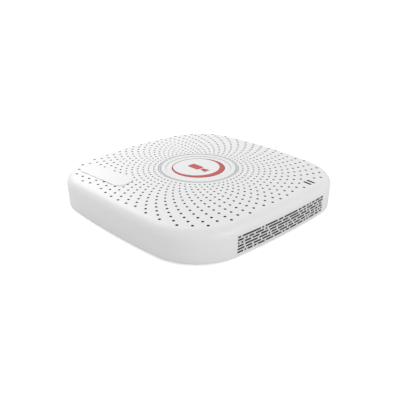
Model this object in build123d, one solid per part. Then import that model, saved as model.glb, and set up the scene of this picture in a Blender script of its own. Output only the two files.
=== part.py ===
from build123d import *
from math import acos, cos, degrees, hypot, radians, sin, sqrt, tan
import os

# A network video recorder, in millimetres.
# Origin: under the middle of the case, on the surface that the feet stand on.
# X is the recorder's right, Y its rear with the sockets, Z is up.

# Case, its width and depth taken where the drafted walls would meet the level of the crown's middle
case_width = 250.8
case_depth = 249.8
case_height = 38.7
side_bow = 900.0
end_bow = 900.0
corner_radius = 60.5
crown_radius = 1950.0
top_round = 10.0
bottom_round = 1.5
wall = 2.6
wall_draft = 1.6
base_thickness = 2.2
base_gap = 0.3

# Feet
foot_height = 2.5
foot_radius = 7.0
foot_seat = 0.6
foot_place = (case_width / 2 - 49.0, case_depth / 2 - 25.0)

# Emblem disc
emblem_radius = 45.4
emblem_depth = 1.6
emblem_floor = 1.4
halo_gap = 0.7
halo_width = 2.0
halo_sink = 0.3
dish_rim = 5.1
dish_sink = 0.5
inlay_depth = 0.6
inlay_gap = 0.05
crescent_outer = 29.9
crescent_inner = 26.4
crescent_shift = 3.9
crescent_turn = 174.0
mark_width = 17.0
mark_height = 10.5
mark_round = 2.4
mark_lens_length = 9.0
mark_lens_gap = 1.2
mark_lens_near = 2.1
mark_lens_far = 4.4

# Name pad at the front left
pad_left = -96.7
pad_right = -19.8
pad_front = -96.5
pad_rear = -73.0
pad_round = 9.0
pad_rise = 0.4
pad_rim = 0.15
pad_seat = 0.6
pad_gap = 0.15

# Status light slots near the right edge
slot_left = 102.6
slot_right = 112.8
slot_width = 3.0
slot_places = (57.5, 63.8)
lens_gap = 0.05
lens_sink = 0.6
lens_flange = 1.2
lens_flange_rim = 1.5

# Side vents
vent_rear = 66.8
vent_front = -66.7
vent_top_row = 23.85
vent_pitch = 3.21
vent_slot_height = 1.9
vent_dash_gap = 2.0
vent_shortest_dash = 1.5
vent_cut = 21.0
vent_dashes = (
    (3.5, 24.1, 2.5, 18.0, 6.4, 21.2, 4.7, 5.9, 3.3, 2.2, 5.3, 7.2, 6.1),
    (7.2, 3.2, 6.6, 11.3, 3.0, 19.1, 8.8, 14.7, 5.5, 3.9, 10.5, 6.1, 9.4),
    (2.0, 2.8, 8.3, 9.4, 10.5, 9.9, 19.3, 14.9, 9.4, 2.8, 10.5, 2.8, 4.4),
    (7.5, 16.9, 11.3, 2.2, 7.7, 9.9, 2.8, 5.5, 5.5, 11.6, 8.8, 5.5, 5.5, 6.3),
    (8.8, 8.3, 9.9, 12.1, 9.9, 11.0, 8.6, 9.4, 7.2, 2.2, 2.2, 7.2, 3.3, 2.8, 2.6),
    (7.2, 2.0, 6.6, 3.3, 9.6, 10.3, 10.8, 2.8, 5.5, 9.9, 9.4, 2.8, 3.3, 8.8, 6.1, 4.6),
)

# Rear bay and connector panel
bay_half_width = 70.0
bay_top = 29.0
bay_frame = 1.6
panel_recess = 7.5
panel_thickness = 1.2
panel_overlap = 1.0
panel_hole_gap = 0.25
panel_round = 1.0

# Case bosses and screws
boss_place = (case_width / 2 - 33.4, case_depth / 2 - 31.0)
boss_radius = 4.0
boss_hole_depth = 14.0
case_screw_radius = 1.5
case_screw_length = 12.0
screw_gap = 0.1
screw_head_radius = 3.0
screw_head_height = 1.5
drive_slot_width = 0.9

# Main board
board_width = 150.0
board_front = 8.0
board_panel_gap = 0.5
board_thickness = 1.6
standoff_height = 5.0
standoff_flats = 5.0
board_screw_radius = 1.5
board_screw_length = 4.5
board_hole_inset = 5.0
board_corner = 2.0

# Sockets on the main board, from left to right seen from the front
vga_x = -46.0
hdmi_x = -17.0
usb_x = 3.0
lan_x = 23.0
dc_x = 41.0
rocker_x = 57.5
socket_proud = 0.6
socket_wall = 0.6

vga_flange_width = 30.8
vga_flange_height = 12.5
vga_depth = 12.0
vga_shell_width = 16.9
vga_shell_height = 8.3
vga_shell_proud = 5.6
vga_shell_bevel = 1.2
vga_mouth_bevel = 1.1
vga_post_spacing = 24.99
vga_post_flats = 4.8
vga_post_hole = 1.25
vga_post_depth = 4.0
vga_thread_depth = 6.0
vga_pin_hole = 0.6
vga_pin_depth = 3.0
vga_pin_columns = 5
vga_pin_rows = 3
vga_pin_pitch = 2.29
vga_row_pitch = 1.98
vga_row_shift = 0.6

hdmi_width = 15.0
hdmi_height = 6.1
hdmi_depth = 12.0
hdmi_bevel = 1.6
hdmi_tongue_thickness = 1.0

usb_width = 13.2
usb_height = 15.6
usb_depth = 17.5
usb_mouth_height = 5.2
usb_pitch = 7.6
usb_tongue_thickness = 1.9

lan_width = 16.0
lan_height = 13.5
lan_depth = 21.0
lan_mouth_width = 11.8
lan_mouth_height = 6.7
lan_key_width = 6.2
lan_key_height = 2.6
lan_mouth_depth = 11.5
lan_mouth_lift = 2.4

dc_width = 9.0
dc_height = 11.0
dc_depth = 14.0
dc_bore = 3.15
dc_bore_depth = 9.5
dc_pin_radius = 1.0
dc_pin_length = 9.0
dc_pin_round = 0.6
dc_lift = 6.5

rocker_housing_width = 15.0
rocker_housing_height = 10.5
rocker_housing_depth = 13.0
rocker_bezel = 1.2
rocker_bezel_proud = 1.4
rocker_width = 10.6
rocker_height = 6.4
rocker_gap = 0.4
rocker_throw = 7.0
rocker_pivot_depth = 1.2
rocker_pin_radius = 0.9
rocker_pin_gap = 0.05
rocker_cheek = 0.8
rocker_back_half = 1.4
rocker_lift = 6.0

# Parts on the main board: places are on the board, sizes are width, depth, height
chip_size = (19.0, 19.0, 1.4)
chip_place = (-6.0, 58.0)
sink_size = (32.0, 32.0, 11.0)
sink_foot = 2.0
sink_fins = 8
sink_fin_thickness = 1.2
memory_size = (13.3, 8.0, 1.1)
memory_x = -34.0
memory_rows = (50.0, 66.0)
flash_size = (8.0, 6.0, 1.5)
flash_place = (22.0, 48.0)
transformer_size = (14.0, 10.0, 5.5)
transformer_place = (23.0, 84.0)
crystal_size = (11.0, 4.6, 3.5)
crystal_place = (-6.0, 84.0)
coil_size = (7.2, 7.2, 4.2)
coil_places = ((42.0, 84.0), (42.0, 72.0), (54.0, 72.0))
cell_place = (-52.0, 30.0)
cell_radius = 10.0
cell_height = 3.2
cell_holder_wall = 1.2
cell_lift = 1.0
buzzer_place = (40.0, 30.0)
buzzer_radius = 6.0
buzzer_height = 8.5
buzzer_hole = 1.1
can_places = ((56.0, 86.0), (30.0, 66.0), (-60.0, 62.0))
can_radius = 3.15
can_height = 7.7
can_base = 0.9

# Drive sockets at the right edge of the main board, and the plugs and cables
plug_level = 13.8
data_row = 24.0
power_row = 43.0
data_plug_size = (14.0, 11.0, 4.2)
power_plug_size = (14.0, 23.0, 4.6)
board_socket_depth = 9.0
cable_reach_data = 101.0
cable_reach_power = 112.0
data_cable_width = 6.6
power_cable_width = 6.4
data_cable_thickness = 2.2
power_cable_thickness = 2.4
cable_bend = 9.0

# Indicator board under the slots
indicator_width = 26.0
indicator_depth = 20.0
indicator_thickness = 1.2
indicator_x = 104.0
indicator_drop = 4.6
light_size = (3.2, 1.6, 1.0)
indicator_post_radius = 2.2
indicator_post_inset = 2.6
header_size = (6.0, 9.0, 5.0)
ribbon_width = 5.0
ribbon_thickness = 0.9
ribbon_bend = 4.5
header_place = (66.0, 60.5)

# Hard drive, 3.5 inch
drive_length = 147.0
drive_width = 101.6
drive_height = 26.1
drive_front = -100.0
drive_corner = 3.0
drive_lid_thickness = 1.2
drive_lid_inset = 1.0
drive_floor = 7.5
drive_pocket = 4.2
drive_board_thickness = 1.2
drive_board_length = 92.0
drive_side_wall = 3.2
drive_screw_across = 95.25
drive_screw_first = 41.28
drive_screw_pitch = 76.2
drive_screw_radius = 1.7
drive_screw_length = 8.2
grommet_height = 2.8
grommet_radius = 5.0
connector_depth = 9.0
connector_width = 42.0
connector_height = 6.0
connector_shift = 2.0

# Drive mechanism
platter_radius = 47.5
platter_bore = 12.5
platter_thickness = 1.27
platter_levels = (12.4, 17.2)
spindle_from_end = 51.0
tub_gap = 1.7
tub_end_wall = 7.0
motor_radius = 12.0
motor_height = 3.0
spindle_radius = 2.5
spindle_running_gap = 0.05
hub_flange = 15.0
hub_flange_thickness = 1.2
hub_lift = 0.7
clamp_radius = 15.0
clamp_thickness = 1.2
clamp_holes = 6
clamp_hole_radius = 1.0
clamp_hole_ring = 9.0
pivot_distance = 57.0
pivot_turn = -15.0
arm_length = 52.0
arm_thickness = 1.0
arm_tip_width = 4.0
arm_root_width = 13.0
arm_hub_radius = 7.0
pivot_radius = 3.0
pivot_running_gap = 0.05
park_gap = 3.2
arm_swing = 33.0
coil_inner_reach = 11.0
coil_outer_reach = 24.0
coil_half_angle = 24.0
coil_thickness = 2.0
coil_band = 3.4
magnet_gap = 0.8
magnet_thickness = 2.0
magnet_sweep = 64.0
ramp_length = 6.0
ramp_width = 7.0
lid_screw_radius = 2.2
lid_screw_inset = 4.6

# Levels
case_floor = foot_height
case_top = case_floor + case_height
crown_centre = case_top - crown_radius
base_top = case_floor + base_thickness
panel_face = case_depth / 2 - panel_recess
board_bottom = base_top + standoff_height
board_top = board_bottom + board_thickness
board_rear = panel_face - panel_thickness - board_panel_gap
drive_bottom = base_top + grommet_height
drive_rear = drive_front + drive_width
drive_middle = (drive_front + drive_rear) / 2
drive_end = drive_length / 2
spindle_place = (spindle_from_end - drive_end, drive_middle)
panel_back = panel_face - panel_thickness
half_turn = 180.0
halo_outer = emblem_radius - halo_gap
halo_inner = halo_outer - halo_width
disc_radius = halo_inner - halo_gap
dish_radius = disc_radius - dish_rim
four_corners = ((-1, -1), (1, -1), (1, 1), (-1, 1))

# How far cutting tools reach past the face that they cut, and how near counts as on a level
past = 1.0
near_enough = 0.01


def crown_level(x, y):
    """Height of the crowned top over a place."""
    return crown_centre + sqrt(crown_radius ** 2 - x * x - y * y)


def crown_ball(rise=0.0):
    """The ball whose top is the crown, raised or sunk."""
    return Pos(0, 0, crown_centre) * Sphere(crown_radius + rise)


def block(size, place, level):
    """A block that stands on a level."""
    return Pos(place[0], place[1], level + size[2] / 2) * Box(*size)


def post(radius, height, place, level):
    """A round post that stands on a level."""
    return Pos(place[0], place[1], level + height / 2) * Cylinder(radius, height)


def tube(outer, inner, height, place, level):
    """A round tube that stands on a level."""
    ring = Pos(place[0], place[1], level) * (Circle(outer) - Circle(inner))
    return extrude(ring, amount=height)


def prism(flats, height, place, level):
    """A hexagonal prism, measured across its flats."""
    hexagon = RegularPolygon(flats / 2, 6, major_radius=False)
    return extrude(Pos(place[0], place[1], level) * hexagon, amount=height)


def rear_plane(level, face):
    """A plane whose x runs along X and whose y runs up, seen from the front."""
    return Plane(origin=(0, face, level), x_dir=(1, 0, 0), z_dir=(0, -1, 0))


def rear_block(width, height, depth, x, level, face, rounding=0.0):
    """A block that runs forwards from a face at the rear."""
    shape = Rectangle(width, height) if rounding == 0 else RectangleRounded(width, height, rounding)
    return extrude(rear_plane(level, face) * Pos(x, 0) * shape, amount=depth)


def rear_post(radius, depth, x, level, face):
    """A round post that runs forwards from a face at the rear."""
    return extrude(rear_plane(level, face) * Pos(x, 0) * Circle(radius), amount=depth)


def corner_arc(inset):
    """Centre, side end, middle and rear end of the corner arc at +X +Y."""
    half_x, half_y = case_width / 2 - inset, case_depth / 2 - inset
    bow_x, bow_y, round_r = side_bow - inset, end_bow - inset, corner_radius - inset
    side_centre, end_centre = half_x - bow_x, half_y - bow_y
    span = hypot(side_centre, end_centre)
    side_reach, end_reach = bow_x - round_r, bow_y - round_r
    along = (side_reach ** 2 - end_reach ** 2 + span ** 2) / (2 * span)
    across = sqrt(side_reach ** 2 - along ** 2)
    unit_x, unit_y = -side_centre / span, end_centre / span
    centre = (side_centre + unit_x * along - unit_y * across, unit_y * along + unit_x * across)
    side_end = (side_centre + (centre[0] - side_centre) * bow_x / side_reach, centre[1] * bow_x / side_reach)
    rear_end = (centre[0] * bow_y / end_reach, end_centre + (centre[1] - end_centre) * bow_y / end_reach)
    out_x = (side_end[0] + rear_end[0]) / 2 - centre[0]
    out_y = (side_end[1] + rear_end[1]) / 2 - centre[1]
    scale = round_r / hypot(out_x, out_y)
    return side_end, (centre[0] + out_x * scale, centre[1] + out_y * scale), rear_end


def case_outline(inset):
    """The case seen from above, with bowed sides and round corners, drawn in by an inset."""
    side_end, middle, rear_end = corner_arc(inset)
    half_x, half_y = case_width / 2 - inset, case_depth / 2 - inset

    def at(point, sx, sy):
        return (point[0] * sx, point[1] * sy)

    arcs = [
        ThreePointArc(at(side_end, 1, -1), (half_x, 0), at(side_end, 1, 1)),
        ThreePointArc(at(side_end, 1, 1), at(middle, 1, 1), at(rear_end, 1, 1)),
        ThreePointArc(at(rear_end, 1, 1), (0, half_y), at(rear_end, -1, 1)),
        ThreePointArc(at(rear_end, -1, 1), at(middle, -1, 1), at(side_end, -1, 1)),
        ThreePointArc(at(side_end, -1, 1), (-half_x, 0), at(side_end, -1, -1)),
        ThreePointArc(at(side_end, -1, -1), at(middle, -1, -1), at(rear_end, -1, -1)),
        ThreePointArc(at(rear_end, -1, -1), (0, -half_y), at(rear_end, 1, -1)),
        ThreePointArc(at(rear_end, 1, -1), at(middle, 1, -1), at(side_end, 1, -1)),
    ]
    return make_face(Wire(arcs))


def wall_inset(level):
    """How far the drafted wall has drawn in at a level."""
    return (case_top - level) * tan(radians(wall_draft))


def case_form(inset, floor, sink):
    """The crowned and drafted form of the case, with its top edge rounded."""
    sheet = Pos(0, 0, case_top) * case_outline(inset)
    form = extrude(sheet, amount=-(case_top - floor), taper=wall_draft) & crown_ball(-sink)
    upper = case_top - sink - 2 * top_round
    top_edges = form.edges().filter_by(lambda edge: edge.center().Z > upper)
    return fillet(top_edges, top_round - inset)


def vent_slots(side):
    """Slots of one side vent, in rows of dashes of uneven length."""
    slots = []
    for row, dashes in enumerate(vent_dashes):
        level = vent_top_row - vent_pitch * row
        start, step = vent_front, 0
        while vent_rear - start > vent_shortest_dash:
            length = min(dashes[step % len(dashes)], vent_rear - start)
            middle = (side * case_width / 2, start + length / 2)
            slots.append(block((vent_cut, length, vent_slot_height), middle, level - vent_slot_height / 2))
            start, step = start + length + vent_dash_gap, step + 1
    return slots


def pad_outline(spread=0.0):
    """The name pad seen from above, spread or shrunk on all sides."""
    width, depth = pad_right - pad_left + 2 * spread, pad_rear - pad_front + 2 * spread
    middle = ((pad_left + pad_right) / 2, (pad_front + pad_rear) / 2)
    return Pos(*middle) * RectangleRounded(width, depth, pad_round + spread)


def slot_outline(row, spread=0.0):
    """One status light slot seen from above."""
    middle = ((slot_left + slot_right) / 2, row)
    length = slot_right - slot_left + 2 * spread
    return Pos(*middle) * SlotOverall(length, slot_width + 2 * spread)


emblem_level = crown_level(emblem_radius, 0) - emblem_depth
dish_level = crown_level(dish_radius, 0) - dish_sink


def emblem_recess():
    """The round recess that the halo ring and the centre disc sit in."""
    return post(emblem_radius, case_top, (0, 0), emblem_level)


def bay_opening():
    """The opening in the rear wall for the connector panel, open at the bottom."""
    deep = case_depth / 2 + past - panel_face
    middle = (0, panel_face + deep / 2)
    return block((2 * bay_half_width, deep, bay_top - case_floor + past), middle, case_floor - past)


def bay_surround():
    """Frame moulded behind the opening, which the connector panel seats on."""
    deep = case_depth / 2 - panel_face
    width, top = 2 * (bay_half_width + bay_frame), bay_top + bay_frame
    return block((width, deep, top - base_top), (0, panel_face + deep / 2), base_top)


def boss_places():
    """The four case bosses."""
    return [(sx * boss_place[0], sy * boss_place[1]) for sx, sy in four_corners]


def indicator_level():
    """Top face of the indicator board, parallel to the floor."""
    return crown_level(indicator_x, slot_places[0]) - wall - indicator_drop


def indicator_middle():
    return (indicator_x, (slot_places[0] + slot_places[1]) / 2)


def indicator_posts():
    """Places of the two posts that carry the indicator board, front and rear of it."""
    x, y = indicator_middle()
    reach = indicator_depth / 2 - indicator_post_inset
    return [(x - indicator_width / 2 + indicator_post_inset, y + side * reach) for side in (-1, 1)]


def top_cover():
    """The cover: crowned top and drafted walls in one moulding."""
    outer = case_form(0, case_floor, 0)
    low_edges = outer.edges().filter_by(lambda edge: abs(edge.center().Z - case_floor) < near_enough)
    outer = fillet(low_edges, bottom_round)
    inner = case_form(wall, case_floor - past, wall)
    cover = outer - inner
    cover += bay_surround() & outer
    thickening = post(emblem_radius + wall, emblem_depth + wall, (0, 0), emblem_level - emblem_floor)
    posts = [thickening]
    for place in boss_places():
        posts.append(post(boss_radius, crown_level(*place) - wall / 2 - base_top, place, base_top))
    for place in indicator_posts():
        low = indicator_level()
        posts.append(post(indicator_post_radius, crown_level(*place) - wall / 2 - low, place, low))
    cover = cover.fuse(*[piece & outer for piece in posts])
    cuts = [emblem_recess(), bay_opening()]
    for place in boss_places():
        cuts.append(post(case_screw_radius + screw_gap, boss_hole_depth, place, base_top))
    pad_seat_form = extrude(Pos(0, 0, case_floor) * pad_outline(pad_gap), amount=case_height + past)
    cuts.append(pad_seat_form - crown_ball(-pad_seat))
    for row in slot_places:
        cuts.append(extrude(Pos(0, 0, case_floor + wall) * slot_outline(row), amount=case_height))
    cover = cover.cut(*cuts)
    return cover.cut(*vent_slots(1), *vent_slots(-1))


def base_plate():
    """The floor of the case, which carries everything inside."""
    inset = wall + wall_inset(case_floor) + base_gap
    plate = extrude(Pos(0, 0, case_floor) * case_outline(inset), amount=base_thickness)
    cuts = [post(foot_radius, foot_seat, place, case_floor) for place in foot_places()]
    for place in boss_places():
        cuts.append(post(case_screw_radius + screw_gap, base_thickness, place, case_floor))
    for place in drive_screw_places():
        cuts.append(post(drive_screw_radius + screw_gap, base_thickness, place, case_floor))
    return plate.cut(*cuts)


def foot_places():
    return [(sx * foot_place[0], sy * foot_place[1]) for sx, sy in four_corners]


def rubber_feet():
    """Four soft feet, each stuck in its shallow seat."""
    feet = []
    for place in foot_places():
        foot = post(foot_radius, foot_height + foot_seat, place, 0)
        lower_rim = foot.edges().filter_by(lambda edge: edge.center().Z < near_enough)
        feet.append(chamfer(lower_rim, foot_seat))
    return Compound(feet)


def floor_screw(place, radius, length, level):
    """A screw driven upwards, with its head under a level."""
    screw = post(screw_head_radius, screw_head_height, place, level - screw_head_height)
    screw += post(radius, length, place, level)
    slot_depth = screw_head_height / 2
    for size in ((2 * radius, drive_slot_width), (drive_slot_width, 2 * radius)):
        screw -= block((*size, slot_depth), place, level - screw_head_height)
    return screw


def top_screw(place, radius, length, level):
    """A screw driven downwards, with its head on a level."""
    screw = post(screw_head_radius, screw_head_height, place, level)
    screw += post(radius, length, place, level - length)
    slot_level = level + screw_head_height / 2
    for size in ((2 * radius, drive_slot_width), (drive_slot_width, 2 * radius)):
        screw -= block((*size, screw_head_height), place, slot_level)
    return screw


def case_screws():
    size = (case_screw_radius, case_screw_length, case_floor)
    return Compound([floor_screw(place, *size) for place in boss_places()])


def halo_ring():
    """Grey ring that stands between two fine grooves, just below the top."""
    return tube(halo_outer, halo_inner, emblem_depth - halo_sink, (0, 0), emblem_level)


def crescent_outline(spread=0.0):
    """A crescent that tapers out towards the left."""
    turn = radians(crescent_turn)
    hole = Pos(crescent_shift * cos(turn), crescent_shift * sin(turn)) * Circle(crescent_inner - spread)
    shape = Circle(crescent_outer + spread) - hole
    return shape.faces().sort_by(Axis.X)[-1]


def mark_outlines(spread=0.0):
    """A plain camera sign: a rounded box and a wedge beside it."""
    box_middle = -mark_lens_length / 2
    size = (mark_width + 2 * spread, mark_height + 2 * spread)
    box = Pos(box_middle, 0) * RectangleRounded(*size, mark_round)
    left = box_middle + mark_width / 2 + mark_lens_gap
    right, near, far = left + mark_lens_length, mark_lens_near + spread, mark_lens_far + spread
    left, right = left - spread, right + spread
    points = [(left, -near), (right, -far), (right, far), (left, near)]
    return [box, make_face(Polyline(*points, close=True))]


def centre_disc():
    """The emblem disc: a flat dish inside a raised rim, with pockets for its inlays."""
    disc = post(disc_radius, 2 * emblem_depth, (0, 0), emblem_level) & crown_ball()
    cuts = [post(dish_radius, 2 * emblem_depth, (0, 0), dish_level)]
    pocket_floor = dish_level - inlay_depth
    for outline in [crescent_outline(inlay_gap), *mark_outlines(inlay_gap)]:
        cuts.append(extrude(Pos(0, 0, pocket_floor) * outline, amount=2 * inlay_depth))
    return disc.cut(*cuts)


def crescent_inlay():
    return extrude(Pos(0, 0, dish_level - inlay_depth) * crescent_outline(), amount=inlay_depth)


def camera_mark():
    level = dish_level - inlay_depth
    place = Pos(0, 0, level)
    return Compound([extrude(place * outline, amount=inlay_depth) for outline in mark_outlines()])


def name_pad():
    """Blank pad, seated in the cover and a little proud of it."""
    pad = extrude(Pos(0, 0, case_floor) * pad_outline(), amount=case_height + 2 * past)
    pad = (pad & crown_ball(pad_rise)) - crown_ball(-pad_seat)
    upper = crown_level(pad_left, pad_front) + pad_rise / 2
    rim = pad.edges().filter_by(lambda edge: edge.center().Z > upper)
    return chamfer(rim, pad_rim)


def status_lenses():
    """Two smoked lenses on one strip under the cover, each filling its slot."""
    middle = indicator_middle()
    under = crown_level(slot_right, slot_places[1]) - wall - lens_flange_rim
    length = slot_right - slot_left + 2 * lens_flange_rim
    width = slot_places[1] - slot_places[0] + 3 * lens_flange_rim
    strip_middle = ((slot_left + slot_right) / 2, middle[1])
    strip = block((length, width, lens_flange), strip_middle, under - lens_flange)
    for row in slot_places:
        lens = extrude(Pos(0, 0, under - lens_flange) * slot_outline(row, -lens_gap), amount=case_height)
        strip += lens & crown_ball(-lens_sink)
    return strip


def indicator_board():
    size = (indicator_width, indicator_depth, indicator_thickness)
    return block(size, indicator_middle(), indicator_level() - indicator_thickness)


def indicator_lights():
    x = (slot_left + slot_right) / 2
    return Compound([block(light_size, (x, row), indicator_level()) for row in slot_places])


def indicator_ribbon():
    """Flat ribbon from the main board's header up to the underside of the indicator board."""
    start_level = board_top + header_size[2] / 2
    start = header_place[0] + header_size[0] / 2
    end_x = indicator_x - indicator_width / 4
    top = indicator_level() - indicator_thickness
    row = indicator_middle()[1]
    points = [(start, row, start_level), (end_x, row, start_level), (end_x, row, top)]
    path = FilletPolyline(*points, radius=ribbon_bend)
    section = Plane(origin=(start, row, start_level), z_dir=(1, 0, 0), x_dir=(0, 1, 0))
    return sweep(section * Rectangle(ribbon_width, ribbon_thickness), path=path)


def ribbon_header():
    return block(header_size, (header_place[0], indicator_middle()[1]), board_top)


def rear_panel():
    """The connector panel, a sheet with a hole for each socket."""
    low, high = base_top, bay_top + panel_overlap
    width = 2 * (bay_half_width + panel_overlap)
    sheet = rear_block(width, high - low, panel_thickness, 0, (low + high) / 2, panel_face)
    gap = 2 * panel_hole_gap

    def hole(size, x, level):
        return rear_block(size[0] + gap, size[1] + gap, 3 * panel_thickness, x, level, panel_face + past)

    cuts = [
        hole((vga_shell_width, vga_shell_height), vga_x, vga_level()),
        hole((hdmi_width, hdmi_height), hdmi_x, board_top + hdmi_height / 2),
        hole((usb_width, usb_height), usb_x, board_top + usb_height / 2),
        hole((lan_width, lan_height), lan_x, board_top + lan_height / 2),
        hole((dc_width, dc_height), dc_x, board_top + dc_height / 2),
        hole(rocker_body(), rocker_x, rocker_level()),
    ]
    post_hole = vga_post_flats / sqrt(3) + panel_hole_gap
    for side in (-1, 1):
        x = vga_x + side * vga_post_spacing / 2
        cuts.append(rear_post(post_hole, 3 * panel_thickness, x, vga_level(), panel_face + past))
    return sheet.cut(*cuts)


def vga_level():
    return board_top + vga_flange_height / 2


def rocker_level():
    return board_top + rocker_lift


def rocker_body():
    return (rocker_housing_width - 2 * rocker_bezel, rocker_housing_height - 2 * rocker_bezel)


def main_board():
    depth = board_rear - board_front
    outline = RectangleRounded(board_width, depth, board_corner)
    board = extrude(Pos(0, (board_front + board_rear) / 2, board_bottom) * outline, amount=board_thickness)
    hole = board_screw_radius + screw_gap
    holes = [post(hole, board_thickness, place, board_bottom) for place in board_hole_places()]
    return board.cut(*holes)


def board_hole_places():
    x = board_width / 2 - board_hole_inset
    rows = (board_front + board_hole_inset, board_rear - board_hole_inset)
    return [(sx * x, y) for sx in (-1, 1) for y in rows]


def board_standoffs():
    """Hexagonal spacers between the base and the main board."""
    spacers = []
    for place in board_hole_places():
        spacer = prism(standoff_flats, standoff_height, place, base_top)
        spacers.append(spacer - post(board_screw_radius + screw_gap, standoff_height, place, base_top))
    return Compound(spacers)


def board_screws():
    size = (board_screw_radius, board_screw_length, board_top)
    return Compound([top_screw(place, *size) for place in board_hole_places()])


def trapezoid(width, height, bevel):
    """A D-shaped outline, narrower at its foot."""
    top, low = width / 2, width / 2 - bevel
    points = [(-low, -height / 2), (low, -height / 2), (top, height / 2), (-top, height / 2)]
    return make_face(Polyline(*points, close=True))


def vga_socket():
    """Fifteen-way socket: flange, D-shaped shell, contact face and two threaded posts."""
    level, rear = vga_level(), panel_back - board_panel_gap / 2
    body = rear_block(vga_flange_width, vga_flange_height, vga_depth, vga_x, level, rear)
    shell_plane = rear_plane(level, rear + vga_shell_proud) * Pos(vga_x, 0)
    shell = trapezoid(vga_shell_width, vga_shell_height, vga_shell_bevel)
    mouth_size = (vga_shell_width - 2 * socket_wall, vga_shell_height - 2 * socket_wall)
    mouth = trapezoid(*mouth_size, vga_mouth_bevel)
    body += extrude(shell_plane * (shell - mouth), amount=vga_shell_proud)
    pins = []
    for row in range(vga_pin_rows):
        for column in range(vga_pin_columns):
            x = vga_x + (column - (vga_pin_columns - 1) / 2) * vga_pin_pitch + (row % 2) * vga_row_shift
            pin_level = level + (row - (vga_pin_rows - 1) / 2) * vga_row_pitch
            pins.append(rear_post(vga_pin_hole, vga_pin_depth, x, pin_level, rear))
    body = body.cut(*pins)
    for side in (-1, 1):
        x = vga_x + side * vga_post_spacing / 2
        plane = rear_plane(level, rear + vga_post_depth) * Pos(x, 0)
        nut = RegularPolygon(vga_post_flats / 2, 6, major_radius=False)
        body += extrude(plane * nut, amount=vga_post_depth)
        body -= rear_post(vga_post_hole, vga_thread_depth, x, level, rear + vga_post_depth)
    return body


def hdmi_socket():
    """Metal shell with bevelled lower corners and a tongue inside."""
    rear, level = panel_face + socket_proud, board_top + hdmi_height / 2

    def shape(inset):
        half, high = hdmi_width / 2 - inset, hdmi_height / 2 - inset
        points = [
            (-half + hdmi_bevel, -high),
            (half - hdmi_bevel, -high),
            (half, -high + hdmi_bevel),
            (half, high),
            (-half, high),
            (-half, -high + hdmi_bevel),
        ]
        return rear_plane(level, rear) * Pos(hdmi_x, 0) * make_face(Polyline(*points, close=True))

    socket = extrude(shape(0), amount=hdmi_depth)
    mouth = hdmi_depth - 3 * socket_wall
    socket -= extrude(shape(socket_wall), amount=mouth)
    tongue = (hdmi_width - 5 * socket_wall, hdmi_tongue_thickness)
    return socket + rear_block(*tongue, mouth - socket_wall, hdmi_x, level, rear - socket_wall)


def usb_levels():
    middle = board_top + usb_height / 2
    return [middle - usb_pitch / 2, middle + usb_pitch / 2]


def usb_socket():
    """Two stacked sockets in one metal shell, each with its tongue."""
    rear = panel_face + socket_proud
    socket = rear_block(usb_width, usb_height, usb_depth, usb_x, board_top + usb_height / 2, rear)
    mouth_width, mouth_depth = usb_width - 2 * socket_wall, usb_depth - 5 * socket_wall
    for level in usb_levels():
        socket -= rear_block(mouth_width, usb_mouth_height, mouth_depth, usb_x, level, rear)
        tongue_level = level + usb_mouth_height / 2 - usb_tongue_thickness / 2 - socket_wall
        tongue = (mouth_width - 2 * socket_wall, usb_tongue_thickness)
        socket += rear_block(*tongue, mouth_depth - socket_wall, usb_x, tongue_level, rear - socket_wall)
    return socket


def lan_mouth_level():
    return board_top + lan_mouth_lift + lan_mouth_height / 2


def lan_jack():
    """Network jack with its latch slot above the mouth."""
    rear = panel_face + socket_proud
    jack = rear_block(lan_width, lan_height, lan_depth, lan_x, board_top + lan_height / 2, rear)
    jack -= rear_block(lan_mouth_width, lan_mouth_height, lan_mouth_depth, lan_x, lan_mouth_level(), rear)
    key_level = lan_mouth_level() + (lan_mouth_height + lan_key_height) / 2
    return jack - rear_block(lan_key_width, lan_key_height, lan_mouth_depth, lan_x, key_level, rear)


def dc_jack():
    rear = panel_face + socket_proud
    jack = rear_block(dc_width, dc_height, dc_depth, dc_x, board_top + dc_height / 2, rear, panel_round)
    return jack - rear_post(dc_bore, dc_bore_depth, dc_x, board_top + dc_lift, rear)


def dc_pin():
    rear = panel_face + socket_proud - (dc_bore_depth - dc_pin_length)
    pin = rear_post(dc_pin_radius, dc_pin_length, dc_x, board_top + dc_lift, rear)
    tip = pin.edges().filter_by(lambda edge: edge.center().Y > rear - near_enough)
    return fillet(tip, dc_pin_round)


def rocker_pivot():
    """The rocker turns about a line along X, just inside the bezel."""
    return panel_face + rocker_bezel_proud - rocker_pivot_depth


def rocker_housing():
    """Switch body behind the panel, its bezel in front of it and a well for the rocker."""
    level, rear = rocker_level(), panel_face + rocker_bezel_proud
    bezel = (rocker_housing_width, rocker_housing_height, rocker_bezel_proud)
    housing = rear_block(*bezel, rocker_x, level, rear, panel_round)
    housing += rear_block(*rocker_body(), rocker_housing_depth, rocker_x, level, panel_face)
    well = (rocker_width + 2 * rocker_gap, rocker_height + 2 * rocker_gap)
    housing -= rear_block(*well, rocker_housing_depth / 2, rocker_x, level, rear)
    hinge_plane = Plane.YZ.offset(rocker_x - rocker_body()[0] / 2) * Pos(rocker_pivot(), level)
    return housing + extrude(hinge_plane * Circle(rocker_pin_radius), amount=rocker_body()[0])


def rocker_outline():
    """Side of the rocker: two faces that meet at its waist, and a rounded back."""
    pivot, level = rocker_pivot(), rocker_level()
    half = rocker_height / 2
    rise = half * tan(radians(rocker_throw))
    front = pivot + rocker_pivot_depth
    back = pivot - rocker_pin_radius - rocker_cheek
    points = [
        (back, level - rocker_back_half),
        (back, level + rocker_back_half),
        (pivot, level + half),
        (front + rise, level + half),
        (front, level),
        (front + rise, level - half),
        (pivot, level - half),
    ]
    return make_face(Polyline(*points, close=True))


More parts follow.
